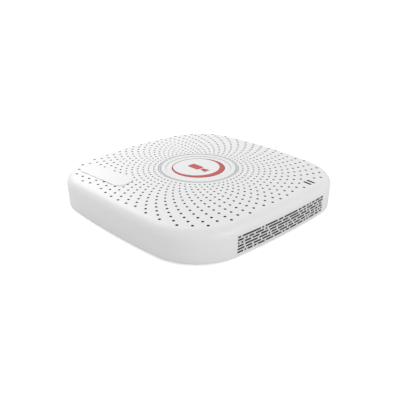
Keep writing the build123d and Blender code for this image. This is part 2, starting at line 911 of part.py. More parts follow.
def power_rocker():
    """The rocker, set to one side as a switch at rest is."""
    half_width = rocker_width / 2
    face = Plane.YZ.offset(rocker_x - half_width) * rocker_outline()
    rocker = extrude(face, amount=rocker_width)
    bore = Circle(rocker_pin_radius + rocker_pin_gap)
    place = Plane.YZ.offset(rocker_x - half_width) * Pos(rocker_pivot(), rocker_level())
    rocker -= extrude(place * bore, amount=rocker_width)
    return rocker.rotate(Axis((0, rocker_pivot(), rocker_level()), (1, 0, 0)), rocker_throw)


def processor():
    return block(chip_size, chip_place, board_top)


def heat_sink():
    """Finned block on the processor."""
    width, depth, height = sink_size
    level = board_top + chip_size[2]
    sink = block((width, depth, sink_foot), chip_place, level)
    pitch = (width - sink_fin_thickness) / (sink_fins - 1)
    for fin in range(sink_fins):
        x = chip_place[0] - width / 2 + sink_fin_thickness / 2 + fin * pitch
        sink += block((sink_fin_thickness, depth, height), (x, chip_place[1]), level)
    return sink


def memory_chips():
    return Compound([block(memory_size, (memory_x, row), board_top) for row in memory_rows])


def flash_chip():
    return block(flash_size, flash_place, board_top)


def network_transformer():
    return block(transformer_size, transformer_place, board_top)


def clock_crystal():
    width, depth, height = crystal_size
    outline = Pos(*crystal_place, board_top) * SlotOverall(width, depth)
    return extrude(outline, amount=height)


def power_coils():
    coils = []
    for place in coil_places:
        coil = block(coil_size, place, board_top)
        coils.append(chamfer(coil.edges().filter_by(Axis.Z), coil_size[2] / 4))
    return Compound(coils)


def cell_holder():
    """Round cup with a cut at the side to slide the cell out."""
    outer = cell_radius + cell_holder_wall
    cup = post(outer, cell_lift + cell_height, cell_place, board_top)
    cup -= post(cell_radius + screw_gap, cell_height, cell_place, board_top + cell_lift)
    mouth = (outer, cell_radius, cell_height)
    mouth_place = (cell_place[0] - outer / 2 - cell_radius / 2, cell_place[1])
    return cup - block(mouth, mouth_place, board_top + cell_lift)


def coin_cell():
    cell = post(cell_radius, cell_height, cell_place, board_top + cell_lift)
    rims = cell.edges().filter_by(GeomType.CIRCLE)
    return chamfer(rims, cell_height / 8)


def buzzer():
    can = post(buzzer_radius, buzzer_height, buzzer_place, board_top)
    return can - post(buzzer_hole, buzzer_height / 2, buzzer_place, board_top + buzzer_height / 2)


def capacitors():
    """Surface-mounted cans on square feet."""
    cans = []
    for place in can_places:
        foot = block((2 * can_radius, 2 * can_radius, can_base), place, board_top)
        cans.append(foot + post(can_radius, can_height, place, board_top))
    return Compound(cans)


def drive_screw_places():
    """Bottom mounting holes of the drive, counted from its connector end."""
    columns = [drive_end - drive_screw_first - drive_screw_pitch * step for step in (0, 1)]
    return [(x, drive_middle + side * drive_screw_across / 2) for x in columns for side in (-1, 1)]


def drive_grommets():
    """Rubber rings between the base and the drive."""
    bore = drive_screw_radius + screw_gap
    size = (grommet_radius, bore, grommet_height)
    return Compound([tube(*size, place, base_top) for place in drive_screw_places()])


def drive_screws():
    size = (drive_screw_radius, drive_screw_length, case_floor)
    return Compound([floor_screw(place, *size) for place in drive_screw_places()])


def pivot_place():
    turn = radians(pivot_turn)
    x, y = spindle_place
    return (x + pivot_distance * cos(turn), y + pivot_distance * sin(turn))


def park_angle():
    """Direction of the arm at rest, with its head on the ramp outside the platters."""
    reach = platter_radius + park_gap
    opening = (arm_length ** 2 + pivot_distance ** 2 - reach ** 2) / (2 * arm_length * pivot_distance)
    return half_turn + pivot_turn - degrees(acos(opening))


def drive_block(length, width, height, level, rounding):
    outline = Pos(0, drive_middle, level) * RectangleRounded(length, width, rounding)
    return extrude(outline, amount=height)


def arm_room(level, height):
    """Space that the arm, coil and magnets swing in."""
    x_low, x_high = spindle_place[0] + motor_radius, drive_end - tub_end_wall
    width = drive_width - 2 * drive_side_wall
    middle = ((x_low + x_high) / 2, drive_middle)
    outline = Pos(*middle, level) * RectangleRounded(x_high - x_low, width, 2 * drive_corner)
    return extrude(outline, amount=height)


def drive_case():
    """Cast tub with a round well for the platters and a room for the arm."""
    height = drive_height - drive_lid_thickness
    tub = drive_block(drive_length, drive_width, height, drive_bottom, drive_corner)
    deep = height - drive_floor
    well_level = drive_bottom + drive_floor
    pocket = (drive_board_length, drive_width - 4 * drive_side_wall, drive_pocket)
    cuts = [
        post(platter_radius + tub_gap, deep, spindle_place, well_level),
        arm_room(well_level, deep),
        block(pocket, drive_board_middle(), drive_bottom),
    ]
    slot = (connector_depth, connector_width, connector_height + drive_pocket)
    cuts.append(block(slot, (drive_end - connector_depth / 2, connector_middle()), drive_bottom))
    for place in drive_screw_places():
        cuts.append(post(drive_screw_radius + screw_gap, drive_screw_length, place, case_floor))
    for place in lid_screw_places():
        cuts.append(post(case_screw_radius, drive_floor, place, drive_bottom + height - drive_floor))
    return tub.cut(*cuts)


def drive_board_middle():
    return (drive_end - connector_depth - drive_board_length / 2, drive_middle)


def drive_board():
    width = drive_width - 4 * drive_side_wall - 4 * screw_gap
    size = (drive_board_length - 4 * screw_gap, width, drive_board_thickness)
    return block(size, drive_board_middle(), drive_bottom + drive_pocket - drive_board_thickness)


def data_plug_row():
    """Row of the data plug on the drive: the cables nest, so the rows mirror those on the main board."""
    return drive_rear - (data_row - board_front) - data_plug_size[1] / 2


def power_plug_row():
    return data_plug_row() - (power_row - data_row)


def connector_middle():
    return (data_plug_row() + power_plug_row()) / 2 - connector_shift


def drive_connector():
    """The drive's own edge connector, which both plugs push onto."""
    size = (connector_depth - screw_gap, connector_width - 2 * screw_gap, connector_height)
    middle = (drive_end - size[0] / 2, connector_middle())
    return block(size, middle, plug_level - connector_height / 2)


def lid_screw_places():
    reach_x, reach_y = drive_end - lid_screw_inset, drive_width / 2 - lid_screw_inset
    return [(sx * reach_x, drive_middle + sy * reach_y) for sx, sy in four_corners]


def drive_lid():
    """Pressed lid with a shallow round field over the platters."""
    level = drive_bottom + drive_height - drive_lid_thickness
    length, width = drive_length - 2 * drive_lid_inset, drive_width - 2 * drive_lid_inset
    lid = drive_block(length, width, drive_lid_thickness, level, drive_corner)
    field_inner = platter_radius - 2 * drive_lid_thickness
    field = tube(platter_radius, field_inner, drive_lid_thickness, spindle_place, level)
    lid -= Pos(0, 0, 2 * drive_lid_thickness / 3) * field
    holes = [post(case_screw_radius, drive_lid_thickness, p, level) for p in lid_screw_places()]
    return lid.cut(*holes)


def drive_lid_screws():
    level = drive_bottom + drive_height
    screws = []
    for place in lid_screw_places():
        head = post(lid_screw_radius, drive_lid_thickness / 2, place, level)
        head += post(case_screw_radius - screw_gap, drive_floor - past, place, level - drive_floor + past)
        screws.append(head)
    return Compound(screws)


def spindle_motor():
    """Fixed motor foot and shaft."""
    level = drive_bottom + drive_floor
    top = drive_bottom + platter_levels[1] + platter_thickness
    return post(motor_radius, motor_height, spindle_place, level) + post(
        spindle_radius, top - level, spindle_place, level
    )


def spindle_hub():
    """Turning hub: a flange under the lower platter and a barrel through both."""
    low = drive_bottom + platter_levels[0] - hub_flange_thickness
    top = drive_bottom + platter_levels[1] + platter_thickness
    bore = spindle_radius + spindle_running_gap
    hub = tube(hub_flange, bore, hub_flange_thickness, spindle_place, low)
    return hub + tube(platter_bore, bore, top - low, spindle_place, low)


def platters():
    size = (platter_radius, platter_bore, platter_thickness)
    return Compound([tube(*size, spindle_place, drive_bottom + level) for level in platter_levels])


def platter_spacer():
    low = drive_bottom + platter_levels[0] + platter_thickness
    height = platter_levels[1] - platter_levels[0] - platter_thickness
    return tube(hub_flange, platter_bore, height, spindle_place, low)


def platter_clamp():
    level = drive_bottom + platter_levels[1] + platter_thickness
    clamp = post(clamp_radius, clamp_thickness, spindle_place, level)
    x, y = spindle_place
    for step in range(clamp_holes):
        turn = radians(360 / clamp_holes * step)
        place = (x + clamp_hole_ring * cos(turn), y + clamp_hole_ring * sin(turn))
        clamp -= post(clamp_hole_radius, clamp_thickness, place, level)
    return clamp


def arm_levels():
    """Under the lower platter, between the two and over the upper one."""
    low, high = platter_levels
    between = (low + platter_thickness + high) / 2 - arm_thickness / 2
    step = between - low
    return [low - step + platter_thickness - arm_thickness, between, high + step]


def along_arm(reach, across=0.0):
    """A place measured from the pivot along the parked arm and across it."""
    turn = radians(park_angle())
    x, y = pivot_place()
    return (x + reach * cos(turn) - across * sin(turn), y + reach * sin(turn) + across * cos(turn))


def arm_blade(level):
    points = [
        along_arm(0, -arm_root_width / 2),
        along_arm(arm_length, -arm_tip_width / 2),
        along_arm(arm_length, arm_tip_width / 2),
        along_arm(0, arm_root_width / 2),
    ]
    return extrude(Pos(0, 0, level) * make_face(Polyline(*points, close=True)), amount=arm_thickness)


def head_arm():
    """Hub on the pivot, three arms towards the platters and a flat fork that carries the coil."""
    levels = [drive_bottom + level for level in arm_levels()]
    low, high = levels[0], levels[2] + arm_thickness
    arm = post(arm_hub_radius, high - low, pivot_place(), low)
    for level in levels:
        arm += arm_blade(level)
    fork = coil_sector(arm_hub_radius / 2, coil_inner_reach)
    arm += extrude(Pos(0, 0, coil_level()) * fork, amount=coil_thickness)
    return arm - post(pivot_radius + pivot_running_gap, high - low, pivot_place(), low)


def coil_sector(inner, outer, trim=0.0):
    """A sector behind the pivot, opposite the arm."""
    back = park_angle() + half_turn
    half = coil_half_angle - trim
    start, end = radians(back - half), radians(back + half)
    middle = radians(back)
    x, y = pivot_place()

    def at(reach, turn):
        return (x + reach * cos(turn), y + reach * sin(turn))

    outline = [
        ThreePointArc(at(outer, start), at(outer, middle), at(outer, end)),
        Line(at(outer, end), at(inner, end)),
        ThreePointArc(at(inner, end), at(inner, middle), at(inner, start)),
        Line(at(inner, start), at(outer, start)),
    ]
    return make_face(Wire(outline))


def coil_level():
    return drive_bottom + arm_levels()[1] + arm_thickness / 2 - coil_thickness / 2


def voice_coil():
    """Flat coil, open in its middle."""
    ring = coil_sector(coil_inner_reach, coil_outer_reach)
    hole = coil_sector(coil_inner_reach + coil_band, coil_outer_reach - coil_band, coil_half_angle / 3)
    return extrude(Pos(0, 0, coil_level()) * (ring - hole), amount=coil_thickness)


def magnet_outline():
    """Plate that covers the coil over its whole swing."""
    back = park_angle() + half_turn + arm_swing / 2
    start, end, middle = (radians(back + turn) for turn in (-magnet_sweep / 2, magnet_sweep / 2, 0))
    inner, outer = coil_inner_reach + 2 * magnet_gap, coil_outer_reach + 2 * magnet_gap
    x, y = pivot_place()

    def at(reach, turn):
        return (x + reach * cos(turn), y + reach * sin(turn))

    outline = [
        ThreePointArc(at(outer, start), at(outer, middle), at(outer, end)),
        Line(at(outer, end), at(inner, end)),
        ThreePointArc(at(inner, end), at(inner, middle), at(inner, start)),
        Line(at(inner, start), at(outer, start)),
    ]
    return make_face(Wire(outline))


def magnet_plates():
    """Two magnet plates, one standing on the tub's floor under the coil and one over it."""
    floor = drive_bottom + drive_floor
    lower_top = coil_level() - magnet_gap
    upper = coil_level() + coil_thickness + magnet_gap
    lower = extrude(Pos(0, 0, floor) * magnet_outline(), amount=lower_top - floor)
    back = radians(park_angle() + half_turn + arm_swing / 2)
    x, y = pivot_place()
    reach = coil_outer_reach + magnet_gap + pivot_radius
    stay_place = (x + reach * cos(back), y + reach * sin(back))
    stay = post(pivot_radius, upper + magnet_thickness - floor, stay_place, floor)
    upper_plate = extrude(Pos(0, 0, upper) * magnet_outline(), amount=magnet_thickness)
    return lower + stay + upper_plate


def pivot_post():
    level = drive_bottom + drive_floor
    top = drive_bottom + arm_levels()[2] + arm_thickness
    shaft = post(pivot_radius, top - level, pivot_place(), level)
    collar = drive_bottom + arm_levels()[0] - hub_lift - level
    return shaft + post(arm_hub_radius, collar, pivot_place(), level)


def parking_ramp():
    """Comb beside the platters that the heads rest over when parked."""
    low = drive_bottom + drive_floor
    reach = arm_length + arm_tip_width / 2
    place = along_arm(reach + ramp_length / 2)
    top = drive_bottom + arm_levels()[2] + arm_thickness
    foot = block((ramp_width, ramp_length, top - low), place, low)
    return foot.rotate(Axis((*place, 0), (0, 0, 1)), park_angle() - 90)


def board_socket(row, width):
    """Angled socket at the board's right edge."""
    middle = (board_width / 2 - board_socket_depth / 2, row)
    top = plug_level + data_plug_size[2]
    return block((board_socket_depth, width, top - board_top), middle, board_top)


def cable(plug_row, socket_row, reach, plug_size, width, thickness):
    """A flat cable with a plug at each end, bent round outside both."""
    start = drive_end + plug_size[0]
    finish = board_width / 2 + plug_size[0]
    points = [
        (start, plug_row, plug_level),
        (reach, plug_row, plug_level),
        (reach, socket_row, plug_level),
        (finish, socket_row, plug_level),
    ]
    path = FilletPolyline(*points, radius=cable_bend)
    section = Plane(origin=points[0], z_dir=(1, 0, 0), x_dir=(0, 1, 0)) * Rectangle(thickness, width)
    return sweep(section, path=path)


def plug_pair(plug_row, socket_row, plug_size):
    """The two plugs of one cable, on the drive and on the board."""
    length = plug_size[0]
    low = plug_level - plug_size[2] / 2
    on_drive = block(plug_size, (drive_end + length / 2, plug_row), low)
    on_board = block(plug_size, (board_width / 2 + length / 2, socket_row), low)
    return Compound([on_drive, on_board])


def data_socket():
    return board_socket(data_row, data_plug_size[1])


def power_socket():
    return board_socket(power_row, power_plug_size[1] / 2)


def data_cable():
    size = (data_plug_row(), data_row, cable_reach_data, data_plug_size)
    return cable(*size, data_cable_width, data_cable_thickness)


def power_cable():
    size = (power_plug_row(), power_row, cable_reach_power, power_plug_size)
    return cable(*size, power_cable_width, power_cable_thickness)


def data_plugs():
    return plug_pair(data_plug_row(), data_row, data_plug_size)


def power_plugs():
    return plug_pair(power_plug_row(), power_row, power_plug_size)


pieces = [
    top_cover,
    base_plate,
    rubber_feet,
    case_screws,
    halo_ring,
    centre_disc,
    crescent_inlay,
    camera_mark,
    name_pad,
    status_lenses,
    indicator_board,
    indicator_lights,
    indicator_ribbon,
    ribbon_header,
    rear_panel,
    main_board,
    board_standoffs,
    board_screws,
    vga_socket,
    hdmi_socket,
    usb_socket,
    lan_jack,
    dc_jack,
    dc_pin,
    rocker_housing,
    power_rocker,
    processor,
    heat_sink,
    memory_chips,
    flash_chip,
    network_transformer,
    clock_crystal,
    power_coils,
    cell_holder,
    coin_cell,
    buzzer,
    capacitors,
    data_socket,
    power_socket,
    data_plugs,
    power_plugs,
    data_cable,
    power_cable,
    drive_case,
    drive_board,
    drive_connector,
    drive_lid,
    drive_lid_screws,
    drive_grommets,
    drive_screws,
    spindle_motor,
    spindle_hub,
    platters,
    platter_spacer,
    platter_clamp,
    pivot_post,
    head_arm,
    voice_coil,
    magnet_plates,
    parking_ramp,
]

os.makedirs("parts", exist_ok=True)
for piece in pieces:
    export_step(piece(), f"parts/{piece.__name__}.step")
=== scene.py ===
# Network video recorder: finishes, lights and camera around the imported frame
import math

import bpy
from mathutils import Matrix, Vector


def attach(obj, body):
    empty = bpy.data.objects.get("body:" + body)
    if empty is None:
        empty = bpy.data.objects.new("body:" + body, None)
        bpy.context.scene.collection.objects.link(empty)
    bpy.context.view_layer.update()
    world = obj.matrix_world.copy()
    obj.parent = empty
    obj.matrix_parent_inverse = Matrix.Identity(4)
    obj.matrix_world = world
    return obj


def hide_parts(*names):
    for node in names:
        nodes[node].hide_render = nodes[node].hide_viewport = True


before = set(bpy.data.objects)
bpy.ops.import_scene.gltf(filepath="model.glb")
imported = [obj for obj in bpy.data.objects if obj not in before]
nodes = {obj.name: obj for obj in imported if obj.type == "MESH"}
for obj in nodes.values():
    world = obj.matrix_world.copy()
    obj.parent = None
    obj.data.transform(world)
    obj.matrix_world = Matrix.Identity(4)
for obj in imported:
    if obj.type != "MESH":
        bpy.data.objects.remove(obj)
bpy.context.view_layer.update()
mm = 0.001
print("frame loaded with", len(nodes), "nodes")


# Selecting and applying, as by hand

def pick(*things):
    bpy.ops.object.select_all(action="DESELECT")
    for thing in things:
        thing.select_set(True)
    bpy.context.view_layer.objects.active = things[-1]


def settle(thing, name):
    pick(thing)
    bpy.ops.object.transform_apply(location=True, rotation=True, scale=True)
    thing.name = name
    thing.data.name = name
    return thing


def applyModifier(thing, kind, **settings):
    pick(thing)
    modifier = thing.modifiers.new(kind.lower(), kind)
    for key, value in settings.items():
        setattr(modifier, key, value)
    bpy.ops.object.modifier_apply(modifier=modifier.name)


def cutAway(thing, cutter):
    applyModifier(thing, "BOOLEAN", operation="DIFFERENCE", object=cutter, solver="EXACT")
    bpy.data.objects.remove(cutter)


def smooth(thing, degrees=30):
    pick(thing)
    bpy.ops.object.shade_smooth_by_angle(angle=math.radians(degrees))


def cloneAt(thing, matrix):
    made = thing.copy()
    made.data = thing.data.copy()
    made.data.transform(matrix)
    bpy.context.scene.collection.objects.link(made)
    return made


def joinAll(things, name):
    pick(*things)
    bpy.ops.object.join()
    joined = bpy.context.object
    joined.name = name
    joined.data.name = name
    return joined


# Shader maths: a socket that can be added, multiplied and compared

class Amount:
    def __init__(self, graph, socket):
        self.graph = graph
        self.socket = socket

    def maths(self, operation, first, second):
        return self.graph.node("ShaderNodeMath", {"operation": operation}, {0: first, 1: second})

    def __add__(self, other):
        return self.maths("ADD", self, other)

    def __sub__(self, other):
        return self.maths("SUBTRACT", self, other)

    def __rsub__(self, other):
        return self.maths("SUBTRACT", other, self)

    def __mul__(self, other):
        return self.maths("MULTIPLY", self, other)

    def __gt__(self, other):
        return self.maths("GREATER_THAN", self, other)

    def __lt__(self, other):
        return self.maths("LESS_THAN", self, other)

    def __mod__(self, other):
        return self.maths("FLOORED_MODULO", self, other)

    def size(self):
        return self.maths("ABSOLUTE", self, 0.0)

    def larger(self, other):
        return self.maths("MAXIMUM", self, other)

    __radd__ = __add__
    __rmul__ = __mul__


class Graph:
    def __init__(self, tree):
        self.tree = tree

    def feed(self, socket, value):
        if isinstance(value, Amount):
            self.tree.links.new(value.socket, socket)
        elif socket.type == "RGBA":
            socket.default_value = (*value, 1.0)
        else:
            socket.default_value = value

    def node(self, kind, settings, values, output=0):
        made = self.tree.nodes.new(kind)
        for key, value in settings.items():
            setattr(made, key, value)
        for key, value in values.items():
            self.feed(made.inputs[key], value)
        return Amount(self, made.outputs[output])


class Finish(Graph):
    def __init__(self, name):
        self.material = bpy.data.materials.new(name)
        self.material.use_nodes = True
        super().__init__(self.material.node_tree)
        self.tree.nodes.clear()
        self.shader = self.tree.nodes.new("ShaderNodeBsdfPrincipled")
        self.surface = self.tree.nodes.new("ShaderNodeOutputMaterial").inputs["Surface"]
        self.feed(self.surface, Amount(self, self.shader.outputs[0]))

    def place(self):
        return self.node("ShaderNodeTexCoord", {}, {}, "Object")

    def axes(self):
        spot = self.place()
        return [self.node("ShaderNodeSeparateXYZ", {}, {0: spot}, axis) for axis in "XYZ"]

    def noise(self, grain, detail=2.0, stretch=(1.0, 1.0, 1.0)):
        spot = self.node("ShaderNodeMapping", {}, {"Vector": self.place(), "Scale": stretch})
        return self.node("ShaderNodeTexNoise", {}, {"Vector": spot, "Scale": 1 / grain, "Detail": detail})

    def strokes(self, look):
        return self.noise(look["grain"] * mm, stretch=look["stretch"])

    def mix(self, share, first, second):     # a Mix node has its colours at inputs 6 and 7, output 2
        return self.node("ShaderNodeMix", {"data_type": "RGBA"}, {0: share, 6: first, 7: second}, 2)

    def drifting(self, look, share):
        return self.mix(share, shaded(look["colour"], 1 - look["drift"]), look["colour"])

    def bump(self, height, depth):
        return self.node("ShaderNodeBump", {}, {"Height": height, "Distance": depth, "Strength": 1.0})

    def set(self, **values):
        for key, value in values.items():
            self.feed(self.shader.inputs[key.replace("_", " ")], value)
        return self.material


def inBox(axes, low, high):
    inside = 1.0
    for axis, start, end in zip(axes, low, high):
        inside = (axis > start) * (axis < end) * inside
    return inside


def shaded(colour, share):
    return tuple(part * share for part in colour)


# Finishes: cloud, grain and relief are in millimetres

def moulded(name, look, mask=None, share=1.0):
    finish = Finish(name)
    cloud = finish.noise(look["cloud"] * mm)
    grain = finish.noise(look["grain"] * mm, detail=3.0)
    colour = finish.drifting(look, cloud)
    if mask:
        colour = finish.mix(mask(finish), colour, shaded(look["colour"], share))
    return finish.set(
        Base_Color=colour,
        Roughness=cloud * look["roughDrift"] + look["rough"],
        Normal=finish.bump(grain, look["relief"] * mm),
        Specular_IOR_Level=look["gloss"],
        Coat_Weight=look.get("coat", 0.0),
    )


def plated(name, look):
    finish = Finish(name)
    strokes = finish.strokes(look)
    return finish.set(
        Base_Color=finish.drifting(look, finish.noise(look["cloud"] * mm, detail=4.0)),
        Metallic=1.0,
        Roughness=strokes * look["roughDrift"] + look["rough"],
        Normal=finish.bump(strokes, look["relief"] * mm),
    )


plastics = {
    "shellWhite": {"colour": (0.84, 0.84, 0.84), "drift": 0.015, "cloud": 30, "grain": 0.35,
                   "relief": 0.004, "rough": 0.34, "roughDrift": 0.06, "gloss": 0.45},
    "discWhite": {"colour": (0.82, 0.83, 0.83), "drift": 0.01, "cloud": 20, "grain": 0.5,
                  "relief": 0.002, "rough": 0.22, "roughDrift": 0.05, "gloss": 0.5},
    # haloGreyAndShade: the halo ring's grey trim, made deeper as painted shade for its channel
    "haloGreyAndShade": {"colour": (0.62, 0.635, 0.635), "drift": 0.03, "cloud": 9, "grain": 0.4,
                 "relief": 0.003, "rough": 0.3, "roughDrift": 0.05, "gloss": 0.5},
    "inlayRed": {"colour": (0.50, 0.020, 0.024), "drift": 0.05, "cloud": 8, "grain": 0.4,
                 "relief": 0.003, "rough": 0.28, "roughDrift": 0.08, "gloss": 0.5},
    "lineRed": {"colour": (0.27, 0.022, 0.022), "drift": 0.05, "cloud": 8, "grain": 0.4,
                "relief": 0.002, "rough": 0.4, "roughDrift": 0.08, "gloss": 0.3},
    "smokedLens": {"colour": (0.012, 0.011, 0.012), "drift": 0.2, "cloud": 4, "grain": 0.6,
                   "relief": 0.001, "rough": 0.3, "roughDrift": 0.08, "gloss": 0.12},
    # dishStepShade: a grey line laid in the corner of the dish's step, painted shade
    "dishStepShade": {"colour": (0.33, 0.34, 0.34), "drift": 0.05, "cloud": 6, "grain": 0.3,
                   "relief": 0.002, "rough": 0.5, "roughDrift": 0.1, "gloss": 0.3},
    # slotWallShade: the walls of the status slots are painted near black, as painted shade
    "slotWallShade": {"colour": (0.01, 0.01, 0.01), "drift": 0.1, "cloud": 3, "grain": 0.3,
                  "relief": 0.004, "rough": 0.6, "roughDrift": 0.1, "gloss": 0.1},
    "ventShade": {"colour": (0.20, 0.20, 0.203), "drift": 0.1, "cloud": 6, "grain": 0.4,
                  "relief": 0.01, "rough": 0.7, "roughDrift": 0.1, "gloss": 0.3},
    "deepShade": {"colour": (0.07, 0.07, 0.072), "drift": 0.1, "cloud": 6, "grain": 0.4,
                  "relief": 0.01, "rough": 0.7, "roughDrift": 0.1, "gloss": 0.3},
    "baseWhite": {"colour": (0.72, 0.72, 0.71), "drift": 0.04, "cloud": 22, "grain": 0.5,
                  "relief": 0.03, "rough": 0.55, "roughDrift": 0.1, "gloss": 0.4},
    "socketBlack": {"colour": (0.028, 0.028, 0.03), "drift": 0.2, "cloud": 7, "grain": 0.3,
                    "relief": 0.012, "rough": 0.42, "roughDrift": 0.12, "gloss": 0.45},
    "chipBlack": {"colour": (0.022, 0.022, 0.024), "drift": 0.25, "cloud": 3, "grain": 0.15,
                  "relief": 0.015, "rough": 0.62, "roughDrift": 0.15, "gloss": 0.4},
    "footRubber": {"colour": (0.035, 0.035, 0.036), "drift": 0.25, "cloud": 4, "grain": 0.25,
                   "relief": 0.03, "rough": 0.8, "roughDrift": 0.12, "gloss": 0.3},
    "cableRed": {"colour": (0.50, 0.03, 0.03), "drift": 0.12, "cloud": 12, "grain": 0.4,
                 "relief": 0.01, "rough": 0.45, "roughDrift": 0.1, "gloss": 0.45},
    "cableBlack": {"colour": (0.03, 0.03, 0.03), "drift": 0.2, "cloud": 12, "grain": 0.4,
                   "relief": 0.01, "rough": 0.5, "roughDrift": 0.12, "gloss": 0.4},
    "rampNatural": {"colour": (0.66, 0.60, 0.46), "drift": 0.08, "cloud": 3, "grain": 0.2,
                    "relief": 0.006, "rough": 0.4, "roughDrift": 0.1, "gloss": 0.45},
    "lightClear": {"colour": (0.60, 0.78, 0.62), "drift": 0.1, "cloud": 1, "grain": 0.3,
                   "relief": 0.002, "rough": 0.12, "roughDrift": 0.05, "gloss": 0.5, "coat": 0.3},
    "insertBlue": {"colour": (0.035, 0.10, 0.42), "drift": 0.12, "cloud": 5, "grain": 0.3,
                   "relief": 0.01, "rough": 0.4, "roughDrift": 0.1, "gloss": 0.45},
    "markWhite": {"colour": (0.72, 0.72, 0.70), "drift": 0.06, "cloud": 1, "grain": 0.1,
                  "relief": 0.002, "rough": 0.5, "roughDrift": 0.1, "gloss": 0.4},
    "lampAmber": {"colour": (0.72, 0.50, 0.16), "drift": 0.1, "cloud": 1, "grain": 0.3,
                  "relief": 0.002, "rough": 0.14, "roughDrift": 0.05, "gloss": 0.5, "coat": 0.3},
    "panelBlack": {"colour": (0.035, 0.035, 0.038), "drift": 0.12, "cloud": 14, "grain": 0.45,
                   "relief": 0.05, "rough": 0.48, "roughDrift": 0.14, "gloss": 0.45},
}

metals = {
    "zincSteel": {"colour": (0.62, 0.62, 0.63), "drift": 0.12, "cloud": 5, "grain": 0.4,
                  "stretch": (1, 1, 6), "rough": 0.24, "roughDrift": 0.16, "relief": 0.004},
    "castAluminium": {"colour": (0.55, 0.56, 0.57), "drift": 0.15, "cloud": 9, "grain": 0.7,
                      "stretch": (1, 1, 1), "rough": 0.42, "roughDrift": 0.2, "relief": 0.03},
    "blackFins": {"colour": (0.045, 0.045, 0.05), "drift": 0.2, "cloud": 6, "grain": 0.5,
                  "stretch": (1, 8, 1), "rough": 0.4, "roughDrift": 0.2, "relief": 0.01},
    "mirrorDisc": {"colour": (0.80, 0.80, 0.82), "drift": 0.02, "cloud": 20, "grain": 2,
                   "stretch": (1, 1, 1), "rough": 0.04, "roughDrift": 0.02, "relief": 0.0002},
    "coilCopper": {"colour": (0.70, 0.32, 0.15), "drift": 0.2, "cloud": 3, "grain": 0.25,
                   "stretch": (1, 1, 5), "rough": 0.28, "roughDrift": 0.14, "relief": 0.02},
    "plainBrass": {"colour": (0.72, 0.56, 0.27), "drift": 0.15, "cloud": 3, "grain": 0.4,
                   "stretch": (1, 1, 4), "rough": 0.26, "roughDrift": 0.16, "relief": 0.005},
    "contactGold": {"colour": (0.86, 0.62, 0.22), "drift": 0.1, "cloud": 2, "grain": 0.3,
                    "stretch": (1, 4, 1), "rough": 0.2, "roughDrift": 0.12, "relief": 0.002},
}

finishes = {name: moulded(name, look) for name, look in plastics.items()}
finishes.update({name: plated(name, look) for name, look in metals.items()})


boardLook = {
    "mask": (0.012, 0.11, 0.055), "trace": (0.03, 0.21, 0.10), "pitch": 2.4, "width": 0.9,
    "patch": 9, "cloud": 5, "relief": 0.03, "rough": 0.28, "roughDrift": 0.12, "gloss": 0.5,
}


def boardGreen():
    look = boardLook
    finish = Finish("boardGreen")
    x, y = finish.axes()[:2]
    patches = finish.node("ShaderNodeTexVoronoi", {"distance": "CHEBYCHEV"},
                          {"Vector": finish.place(), "Scale": 1 / (look["patch"] * mm)}, "Color")
    choice = finish.node("ShaderNodeSeparateColor", {}, {0: patches}) > 0.5
    across = (x % (look["pitch"] * mm)) < look["width"] * mm
    along = (y % (look["pitch"] * mm)) < look["width"] * mm
    tracks = across * choice + along * (1 - choice)
    return finish.set(
        Base_Color=finish.mix(tracks, look["mask"], look["trace"]),
        Roughness=finish.noise(look["cloud"] * mm) * look["roughDrift"] + look["rough"],
        Normal=finish.bump(tracks, look["relief"] * mm),
        Specular_IOR_Level=look["gloss"],
    )


# Steel shells with a black tongue inside and gold contacts under each tongue

shells = {
    "usbShell": {"left": -2.5, "right": 8.5, "tongues": [(15.3, 17.4), (22.9, 25.0)],
                 "contactStart": -1.0, "contactPitch": 2.2, "contactWidth": 1.0},
    "hdmiShell": {"left": -23.1, "right": -10.9, "tongues": [(13.8, 14.9)],
                  "contactStart": -22.0, "contactPitch": 1.0, "contactWidth": 0.45},
}
tongueLook = {"back": 90, "front": 117.5, "contactSkin": 0.16, "rougher": 0.15}


def socketShell(name, look):
    finish = Finish(name)
    x, y, z = finish.axes()
    steel = metals["zincSteel"]
    back, front = tongueLook["back"] * mm, tongueLook["front"] * mm
    left, right = look["left"] * mm, look["right"] * mm
    fromStart = x - look["contactStart"] * mm
    stripe = (fromStart % (look["contactPitch"] * mm)) < look["contactWidth"] * mm
    tongue, contact = 0.0, 0.0
    for bottom, top in look["tongues"]:
        low = (left, back, bottom * mm)
        skin = bottom * mm + tongueLook["contactSkin"] * mm
        tongue = inBox((x, y, z), low, (right, front, top * mm)) + tongue
        contact = inBox((x, y, z), low, (right, front, skin)) * stripe + contact
    strokes = finish.strokes(steel)
    metal = finish.drifting(steel, finish.noise(steel["cloud"] * mm, detail=4.0))
    moulding = finish.mix(tongue, metal, plastics["socketBlack"]["colour"])
    plastic = tongue * (1 - contact)
    return finish.set(
        Base_Color=finish.mix(contact, moulding, metals["contactGold"]["colour"]),
        Metallic=1 - plastic,
        Roughness=strokes * steel["roughDrift"] + plastic * tongueLook["rougher"] + steel["rough"],
        Normal=finish.bump(strokes, steel["relief"] * mm),
    )


flangeBack = 115.4 * mm     # the steel flange starts here, with blue moulding behind it


def vgaFinish():
    finish = Finish("vgaFinish")
    metal = finish.axes()[1] > flangeBack
    steel, blue = metals["zincSteel"], plastics["insertBlue"]
    strokes = finish.strokes(steel)
    smoother = metal * (steel["rough"] - blue["rough"])
    return finish.set(
        Base_Color=finish.mix(metal, blue["colour"], finish.drifting(steel, strokes)),
        Metallic=metal,
        Roughness=strokes * steel["roughDrift"] + smoother + blue["rough"],
        Normal=finish.bump(strokes, steel["relief"] * mm),
    )


# Painted shade: the webs of the grille are painted a little darker, and so are the steep sides of the name
# pad, as a painted shadow line

